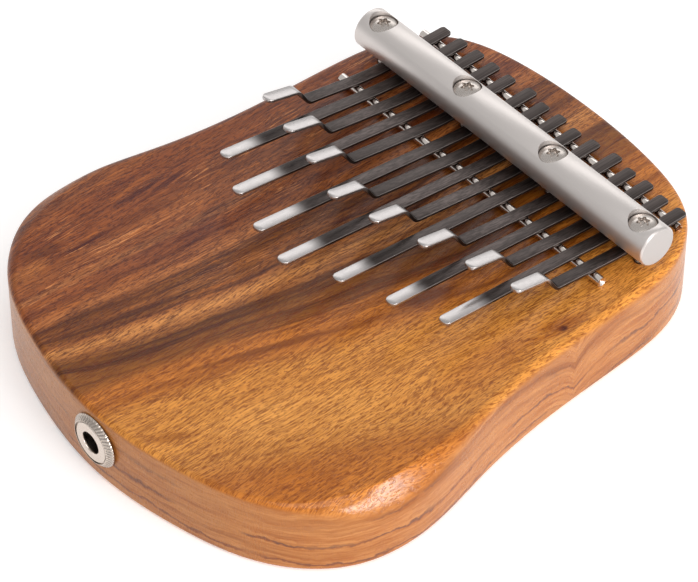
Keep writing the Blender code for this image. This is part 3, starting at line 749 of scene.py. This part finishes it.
def make_board():
    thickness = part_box("body_board")[1].z
    outline = board_outline()
    normals = outward_normals(outline)
    columns = []
    for (x, y), (nx, ny) in zip(outline, normals):
        columns.append([(x - nx * i, y - ny * i, z) for i, z in edge_profile(x, y, thickness)])
    board = make_object("board", loft(list(zip(*columns))), WOOD, 25)

    grooves = []
    for node in ("front_bridge_rod", "rear_bridge_rod"):
        low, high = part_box(node)
        middle = centre(node)
        radius = size(node).z / 2 + HAIR
        ends = [(radius, low.x - 2 * HAIR), (radius, high.x + 2 * HAIR)]
        grooves.append(turned(ends, 64, along_x(middle.y, middle.z)))
    holes = []
    for node in SCREWS:
        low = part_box(node)[0]
        middle = centre(node)
        shaft = [(SCREW_HOLE, low.z - MM), (SCREW_HOLE, thickness + MM)]
        holes.append(turned(shaft, 40, upright(middle.x, middle.y)))
    cover_low, cover_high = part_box("back_cover")
    seat = cover_high.z + 0.3 * MM
    ends = (cover_low.y - REBATE_MARGIN, cover_high.y + REBATE_MARGIN)
    rebate = rounded_box(cover_high.x + REBATE_MARGIN, ends, (-MM, seat), 4 * MM)
    cut(board, rebate, *grooves, *holes)
    pocket = rounded_box(POCKET_HALF_WIDTH, POCKET_Y, (-2 * MM, POCKET_CEILING_Z), 2 * MM)
    pilots = []
    for node in COVER_SCREWS:
        middle = centre(node)
        shaft = [(PILOT_HOLE, seat - MM), (PILOT_HOLE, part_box(node)[1].z + 0.3 * MM)]
        pilots.append(turned(shaft, 24, upright(middle.x, middle.y)))
    cut(board, pocket, *pilots)
    nut = centre("jack_ring_nut")
    bore = [(JACK_HOLE, -110 * MM), (JACK_HOLE, POCKET_Y[0] + 5 * MM)]
    cut(board, turned(bore, 64, along_y(nut.x, nut.z)))
    finish_piece(board, "body_board")


# Rods, clamp bar and screws -----------

def make_rod(node):
    low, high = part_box(node)
    radius = size(node).z / 2
    dome = 0.8 * MM
    sines = [math.sin(math.radians(degrees)) for degrees in (4, 15, 30, 45, 60, 75, 90)]
    profile = [(radius * sine, dome * (1 - sine)) for sine in sines]
    left = [(r, low.x + depth) for r, depth in profile]
    right = [(r, high.x - depth) for r, depth in reversed(profile)]
    middle = centre(node)
    rod = make_object(f"{node}_polished", turned(left + right, 48, along_x(middle.y, middle.z)),
                      ROD_STEEL, 40)
    finish_piece(rod, node)


def make_clamp_bar():
    low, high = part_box("clamp_bar")
    middle = centre("clamp_bar")
    radius = size("clamp_bar").z / 2
    chamfer = 0.6 * MM
    end = [(radius - chamfer, 0.0), (radius - 0.75 * chamfer, 0.03 * chamfer),
           (radius - 0.1 * chamfer, 0.7 * chamfer), (radius, chamfer)]
    profile = [(r, low.x + depth) for r, depth in end]
    profile += [(r, high.x - depth) for r, depth in reversed(end)]
    bar = make_object("clamp_bar_satin", turned(profile, 160, along_x(middle.y, middle.z)),
                      BAR_ALUMINIUM, 25)
    bores = []
    for node in SCREWS:
        place = centre(node)
        head = size(node).x / 2
        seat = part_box(node)[1].z - HEAD_HEIGHT - HAIR
        shape = [(SCREW_HOLE, low.z - MM), (SCREW_HOLE, seat), (head + HEAD_MARGIN, seat),
                 (head + HEAD_MARGIN, high.z + MM)]
        bores.append(turned(shape, 72, upright(place.x, place.y)))
    cut(bar, *bores)
    soften(bar, 0.12 * MM)
    finish_piece(bar, "clamp_bar")


def six_lobes(x, y, bottom, top):
    """Cutter for a six-lobe recess."""
    mean, swing = 1.8 * MM, 0.38 * MM
    profile = [(0.2, bottom), (0.9, bottom + 0.25 * MM), (1.0, top)]

    def lobed(ring, angle, scale):
        return scale * (mean + swing * math.cos(6 * angle))
    return turned(profile, 96, upright(x, y), False, lobed)


def make_clamp_screw(node):
    low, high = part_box(node)
    middle = centre(node)
    head = size(node).x / 2
    seat = high.z - HEAD_HEIGHT
    shank, pitch, depth = 1.75 * MM, 1.25 * MM, 0.35 * MM
    dome = 1.1 * MM
    profile = [(0.3 * MM, low.z), (shank - depth, low.z + 2.3 * MM)]
    first = len(profile)
    from_z = low.z + 2.4 * MM
    for k in range(int((seat - 6 * MM - low.z - 2.4 * MM) / (pitch / 6))):
        profile.append((shank, from_z + k * pitch / 6))
    thread = threaded(profile, first, len(profile), pitch, depth)
    rim = high.z - dome
    profile += [(shank, seat - 5.6 * MM), (shank, seat), (head - 0.1 * MM, seat),
                (head, seat + 0.1 * MM), (head, rim)]
    for k in range(1, 13):
        r = head * (1 - k / 12)
        profile.append((max(r, 0.05 * MM), rim + dome * (1 - (r / head) ** 2.4)))
    screw = make_object(node + "_domed",
                        turned(profile, 48, upright(middle.x, middle.y), False, thread),
                        SCREW_STEEL, 35)
    cut(screw, six_lobes(middle.x, middle.y, high.z - 1.6 * MM, high.z + MM))
    finish_piece(screw, node)


# Tines --------------------------------

def curve_between(start, end, start_slope, end_slope, steps):
    """Cubic from one (y, z) point to the next; slopes are rise over run."""
    run = end[0] - start[0]
    points = []
    for k in range(1, steps + 1):
        t = k / steps
        z = ((2 * t**3 - 3 * t**2 + 1) * start[1] + (t**3 - 2 * t**2 + t) * run * start_slope
             + (3 * t**2 - 2 * t**3) * end[1] + (t**3 - t**2) * run * end_slope)
        points.append((start[0] + t * run, z))
    return points


def jog_between(start, end, start_slope, end_slope, steps):
    """S-shaped quintic whose curvature is spread over the run."""
    run = end[0] - start[0]
    points = []
    for k in range(1, steps + 1):
        t = k / steps
        from_start = start[1] + t * run * start_slope
        from_end = end[1] - (1 - t) * run * end_slope
        share = t**3 * (10 - 15 * t + 6 * t**2)
        points.append((start[0] + t * run, from_start + (from_end - from_start) * share))
    return points


def straight_to(path, end, spacing=2.0 * MM):
    """Extend a path to its new end by a straight run with points at even spacing."""
    start = path[-1]
    steps = max(1, round(math.hypot(end[0] - start[0], end[1] - start[1]) / spacing))
    for k in range(1, steps + 1):
        share = k / steps
        path.append((start[0] + (end[0] - start[0]) * share,
                     start[1] + (end[1] - start[1]) * share))


def over_rod(node, slope):
    """Centre-line point of a tine that rests on a rod with the given slope."""
    middle = centre(node)
    lift = size(node).z / 2 + ROD_CLEARANCE + TINE_THICKNESS / 2
    return middle.y, middle.z + lift / math.cos(math.atan(slope))


def tine_path(name, short):
    """Centre line (y, z) from tail to tip, y of the hinge and y where the polish starts."""
    x = centre(name + "_heel").x
    degrees = SLOPE_MIDDLE - SLOPE_FALL * x / MM + (SHORT_EXTRA_SLOPE if short else 0)
    slope = -math.tan(math.radians(degrees))
    rear = over_rod("rear_bridge_rod", TAIL_SLOPE)
    bar = centre("clamp_bar")
    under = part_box("clamp_bar")[0].z - ROD_CLEARANCE - TINE_THICKNESS / 2
    front = over_rod("front_bridge_rod", slope)
    pivot_y = front[0] - PIVOT_AHEAD
    tail_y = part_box(name + "_heel")[1].y
    tip_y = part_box(name + "_tongue")[0].y
    path = [(tail_y, rear[1] + TAIL_SLOPE * (tail_y - rear[0])), rear]
    path += curve_between(rear, (bar.y, under), TAIL_SLOPE, 0, 12)
    path += curve_between((bar.y, under), front, 0, slope, 12)
    for k in range(1, 9):
        y = front[0] + (pivot_y - FLEX_HALF_LENGTH - front[0]) * k / 8
        path.append((y, front[1] + slope * (y - front[0])))
    if short:
        raised_angle = math.radians(degrees + RAISED_EXTRA_SLOPE)
        raised = -math.tan(raised_angle)
        jog_end_y = tip_y + RAISED_LENGTH * math.cos(raised_angle)
        jog_start_y = jog_end_y + JOG_RUN
        jog_start = (jog_start_y, front[1] + slope * (jog_start_y - front[0]))
        rise = JOG_RISE + slope * (jog_end_y - jog_start_y) * 0.5
        jog_end = (jog_end_y, jog_start[1] + rise)
        straight_to(path, jog_start)
        path += jog_between(jog_start, jog_end, slope, raised, 24)
        straight_to(path, (tip_y, jog_end[1] + raised * (tip_y - jog_end_y)))
        bright_from = jog_end_y + 2.0 * MM
    else:
        straight_to(path, (tip_y, front[1] + slope * (tip_y - front[0])))
        uneven = 2.5 * MM * math.sin(2.1 * x / MM)
        bright_from = tip_y + POLISHED_LENGTH + uneven
    return path, pivot_y, bright_from


def rounded_stations(path, half):
    """Stations (point, half width, thickness share) with rounded corners at each path end."""
    points = [Vector(point) for point in path]
    stations = [(point, half, 1.0) for point in points[1:-1]]
    for at_start, length, square in ((True, TAIL_ROUNDING, 0.45), (False, TIP_ROUNDING, 0.75)):
        end, inner = (points[0], points[1]) if at_start else (points[-1], points[-2])
        back = (inner - end).normalized()
        cap = []
        for degrees in (0, 15, 30, 45, 58, 69, 78, 84, 88):
            angle = math.radians(degrees)
            thin = 1.0 if degrees < 60 else 1.0 - 0.3 * ((degrees - 60) / 28) ** 2
            cap.append((end + back * length * (1 - math.sin(angle)),
                        half * math.cos(angle) ** square, thin))
        stations = list(reversed(cap)) + stations if at_start else stations + cap
    return stations


def tine_section(half, thickness):
    """Corners (across, up) of a tine's bevelled section, going round."""
    bevel = min(TINE_EDGE, 0.4 * half)
    corners = []
    for sx, sy in ((1, 1), (-1, 1), (-1, -1), (1, -1)):
        along = (sx * half, sy * (thickness / 2 - bevel))
        over = (sx * (half - bevel), sy * thickness / 2)
        middle = (sx * (half - 0.3 * bevel), sy * (thickness / 2 - 0.3 * bevel))
        corners += [along, middle, over] if sx * sy > 0 else [over, middle, along]
    return corners


def make_tine(index, name):
    short = index % 2 == 0
    low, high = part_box(name + "_heel")
    x, half = (low.x + high.x) / 2, (high.x - low.x) / 2
    path, pivot_y, bright_from = tine_path(name, short)
    stations = rounded_stations(path, half)
    rings = []
    for k, (point, width, thin) in enumerate(stations):
        along = stations[min(k + 1, len(stations) - 1)][0] - stations[max(k - 1, 0)][0]
        up = Vector((-along.y, along.x)).normalized()
        if up.y < 0:
            up = -up
        ring = []
        for across, rise in tine_section(width, TINE_THICKNESS * thin):
            ring.append((x + across, point.x + up.x * rise, point.y + up.y * rise))
        rings.append(ring)
    tine = make_object(name, loft(rings), TINE_STEEL, 50)
    fade = POLISH_FADE[0 if short else 1]
    polish, reflected_shade = [], []
    for vertex in tine.data.vertices:
        ahead = (bright_from - vertex.co.y) / fade + 0.5
        polish.append(clamped(ahead))
        # Share of painted shade, fading out over its length behind the bright end
        reflected_shade.append(max(0.0, 1 + min(0.0, ahead) * fade / REFLECTED_SHADE_LENGTH))
    # Painted highlight on the middle corner of each edge bevel
    painted_edge_highlight = [float(k % 3 == 1) for k in range(len(rings[0]))] * len(rings)
    add_attribute(tine, "polish", polish)
    add_attribute(tine, "edge", painted_edge_highlight)
    add_attribute(tine, "reflected_shade", reflected_shade)
    pivot_y + FLEX_HALF_LENGTH
    pivot_y - FLEX_HALF_LENGTH
    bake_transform(tine)
    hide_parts(name + "_heel", name + "_tongue")


# Jack socket --------------------------

def make_ring_nut():
    middle = centre("jack_ring_nut")
    base = size("jack_ring_nut").x / 2
    front, back = (corner.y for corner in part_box("jack_ring_nut"))
    rim, groove_out, groove_in, bore = 6.9 * MM, 6.7 * MM, 6.3 * MM, 4.8 * MM
    height, groove_depth, tooth_depth = 1.1 * MM, 0.5 * MM, 0.36 * MM
    steps, teeth, slant = 5, 46, 0.16
    cone = [(base, back), (base, front + 1.25 * MM), (base - 0.2 * MM, front + height)]
    for k in range(1, steps):
        share = k / steps
        cone.append((base - 0.2 * MM + (rim - base + 0.2 * MM) * share,
                     front + height * (1 - share)))
    face = [
        (rim, front + 0.06 * MM), (rim - 0.06 * MM, front), (groove_out, front),
        (groove_out - 0.05 * MM, front + groove_depth), (groove_in, front + groove_depth),
        (groove_in - 0.04 * MM, front + 0.15 * MM), (groove_in - 0.3 * MM, front),
        (bore, front), (bore, back),
    ]

    def knurled(ring, angle, radius):
        if ring > steps + 1 or ring == 0:
            return radius
        wave = abs(2 * ((angle * teeth / (2 * math.pi) + slant * ring) % 1.0) - 1)
        deep = tooth_depth * min(1.0, 0.45 + 0.25 * ring)
        return radius - deep * (1 - wave) ** 1.2

    nut = make_object("jack_nut_knurled",
                      turned(cone + face, teeth * 8, along_y(middle.x, middle.z), True, knurled),
                      NICKEL, 28)
    # Hollows that get painted shade: the knurl's valleys and the ring channel in the face
    recess_shade = []
    for vertex in nut.data.vertices:
        radius = math.hypot(vertex.co.x - middle.x, vertex.co.z - middle.z)
        full = rim + (base - rim) * clamped((vertex.co.y - front) / height)
        in_ring = (groove_in - 0.05 * MM < radius < groove_out
                   and vertex.co.y > front + 0.3 * MM)
        sunk = (full - radius) / (0.3 * MM) if radius > groove_out else 0.0
        recess_shade.append(1.0 if in_ring else clamped(sunk))
    add_attribute(nut, "recess_shade", recess_shade)
    finish_piece(nut, "jack_ring_nut")


def make_sleeve():
    middle = centre("jack_sleeve")
    barrel = size("jack_sleeve").x / 2
    mouth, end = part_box("jack_ring_nut")[0].y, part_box("jack_sleeve")[1].y
    shoulder, edge = -76.2 * MM, 0.2 * MM
    hole, inside, neck, bore = 3.45 * MM, 4.3 * MM, 4.79 * MM, 5.2 * MM
    pitch, depth = 0.5 * MM, 0.18 * MM
    profile = [(hole + 0.06 * MM, mouth + 0.1 * MM), (hole + 0.22 * MM, mouth), (neck, mouth)]
    for k in range(int((shoulder - mouth - 1.2 * MM) / pitch)):
        y = mouth + 0.7 * MM + k * pitch
        profile += [(neck, y), (neck - depth, y + pitch / 2)]
    profile += [
        (neck, shoulder), (barrel - edge, shoulder), (barrel, shoulder + edge),
        (barrel, end - edge), (barrel - edge, end), (bore, end), (bore, shoulder + 2 * MM),
        # The hole widens behind its lip, so that it is dark inside
        (inside, shoulder), (inside, mouth + 1.1 * MM), (hole, mouth + 0.9 * MM),
        (hole, mouth + 0.25 * MM),
    ]
    sleeve = make_object("jack_sleeve_turned",
                         turned(profile, 96, along_y(middle.x, middle.z), True), NICKEL, 28)
    finish_piece(sleeve, "jack_sleeve")


# Back cover ---------------------------

def make_cover():
    low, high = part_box("back_cover")
    corner, edge, shank_hole = 3.7 * MM, 0.25 * MM, 1.2 * MM
    plate = rounded_box(high.x, (low.y, high.y), (low.z, high.z), corner, edge)
    cover = make_object("back_cover_plate", plate, COVER_PLASTIC, 35)
    holes = []
    for node in COVER_SCREWS:
        place = centre(node)
        head = size(node).x / 2
        shape = [(head + 0.1 * MM, -MM), (head + 0.1 * MM, low.z + 0.3 * MM),
                 (shank_hole, low.z + 1.25 * MM), (shank_hole, high.z + MM)]
        holes.append(turned(shape, 48, upright(place.x, place.y)))
    cut(cover, *holes)
    finish_piece(cover, "back_cover")


def make_cover_screw(node):
    low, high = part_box(node)
    place = centre(node)
    head, shank = size(node).x / 2, 1.0 * MM
    profile = [(0.05 * MM, low.z), (head - 0.5 * MM, low.z + 0.02 * MM),
               (head - 0.1 * MM, low.z + 0.12 * MM), (head, low.z + 0.2 * MM),
               (shank, low.z + 1.25 * MM)]
    first = len(profile)
    for k in range(28):
        profile.append((shank, low.z + 1.6 * MM + k * 0.18 * MM))
    pitch, depth = 0.8 * MM, 0.25 * MM
    thread = threaded(profile, first, len(profile), pitch, depth)
    profile += [(0.75 * shank, high.z - shank), (0.1 * MM, high.z)]
    screw = make_object(node + "_cross",
                        turned(profile, 32, upright(place.x, place.y), False, thread),
                        BLACK_SCREW, 35)
    for turn in (0, math.pi / 2):
        arm = rounded_box(0.3 * MM, (-1.1 * MM, 1.1 * MM), (low.z - MM, low.z + 0.7 * MM),
                          0.1 * MM)
        spin = Matrix.Rotation(turn + math.radians(20), 4, "Z")
        arm.transform(Matrix.Translation((place.x, place.y, 0)) @ spin)
        cut(screw, arm)
    finish_piece(screw, node)


def dress_hidden_nodes():
    """The inner pieces keep their CAD shape and get their own finish."""
    finishes = {
        "jack_washer": WASHER_STEEL, "jack_insulator": INSULATOR, "jack_tip_spring": BRASS,
        "piezo_plate": BRASS, "piezo_ceramic": CERAMIC, "pickup_lead_hot": LEAD_RED,
        "pickup_lead_ground": LEAD_BLACK,
    }
    for node, material in finishes.items():
        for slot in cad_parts[node].material_slots:
            slot.material = material


# Stage --------------------------------

def make_floor():
    paper = Finish("floor_paper")
    fine = paper.cloud((0.05, 0.05, 0.05), 2.0)
    tone = paper.mix(fine, (0.93, 0.93, 0.93, 1), (0.95, 0.95, 0.95, 1))
    paper.done(Base_Color=tone, Roughness=0.9, Emission_Color=(1, 1, 1, 1),
               Emission_Strength=0.25)
    mesh = bpy.data.meshes.new("floor")
    mesh.from_pydata([(-8, -8, 0), (8, -8, 0), (8, 8, 0), (-8, 8, 0)], [], [(0, 1, 2, 3)])
    mesh.materials.append(paper.material)
    floor = new_object("floor", mesh)
    floor.location.z = -0.2 * MM


def aim(obj, target, azimuth, elevation, distance):
    """Make an object look at the target from a distance; azimuth 0 is -Y and 90 is +X."""
    a, e = math.radians(azimuth), math.radians(elevation)
    away = Vector((math.sin(a) * math.cos(e), -math.cos(a) * math.cos(e), math.sin(e)))
    obj.location = target + away * distance
    obj.rotation_euler = away.to_track_quat("Z", "Y").to_euler()


def add_softbox(name, power, azimuth, elevation, distance, width, height):
    light = bpy.data.lights.new(name, "AREA")
    light.shape = "RECTANGLE"
    light.size, light.size_y = width, height
    light.energy = power
    aim(new_object(name, light), Vector((0, 0, 0.02)), azimuth, elevation, distance)


def make_lights():
    world = bpy.data.worlds.new("studio")
    world.use_nodes = True
    background = world.node_tree.nodes["Background"]
    background.inputs["Color"].default_value = (1, 1, 1, 1)
    background.inputs["Strength"].default_value = 0.6
    bpy.context.scene.world = world
    add_softbox("key_front_right", 7, azimuth=60, elevation=56, distance=1.5, width=1, height=1)
    add_softbox("card_back_left", 3.4, azimuth=-138, elevation=30, distance=1.4, width=1.4,
                height=0.6)
    add_softbox("strip_right", 10.5, azimuth=94, elevation=14, distance=1.2, width=0.66,
                height=0.25)


def make_camera():
    data = bpy.data.cameras.new("camera")
    data.sensor_width = 36.0
    data.lens = 193.1
    data.clip_start, data.clip_end = 0.05, 50.0
    target = Vector((11.04, -10.3, 25.0)) * MM
    azimuth, elevation, distance = 49.38, 45.5, 1.0344
    camera = new_object("camera", data)
    aim(camera, target, azimuth, elevation, distance)
    bpy.context.scene.camera = camera


make_camera()
make_lights()
make_floor()
make_board()
for rod in ("front_bridge_rod", "rear_bridge_rod"):
    make_rod(rod)
make_clamp_bar()
for screw_node in SCREWS:
    make_clamp_screw(screw_node)
for tine_index, tine_name in enumerate(TINES):
    make_tine(tine_index, tine_name)
make_ring_nut()
make_sleeve()
make_cover()
for screw_node in COVER_SCREWS:
    make_cover_screw(screw_node)
dress_hidden_nodes()
bpy.context.scene.view_settings.view_transform = "Standard"
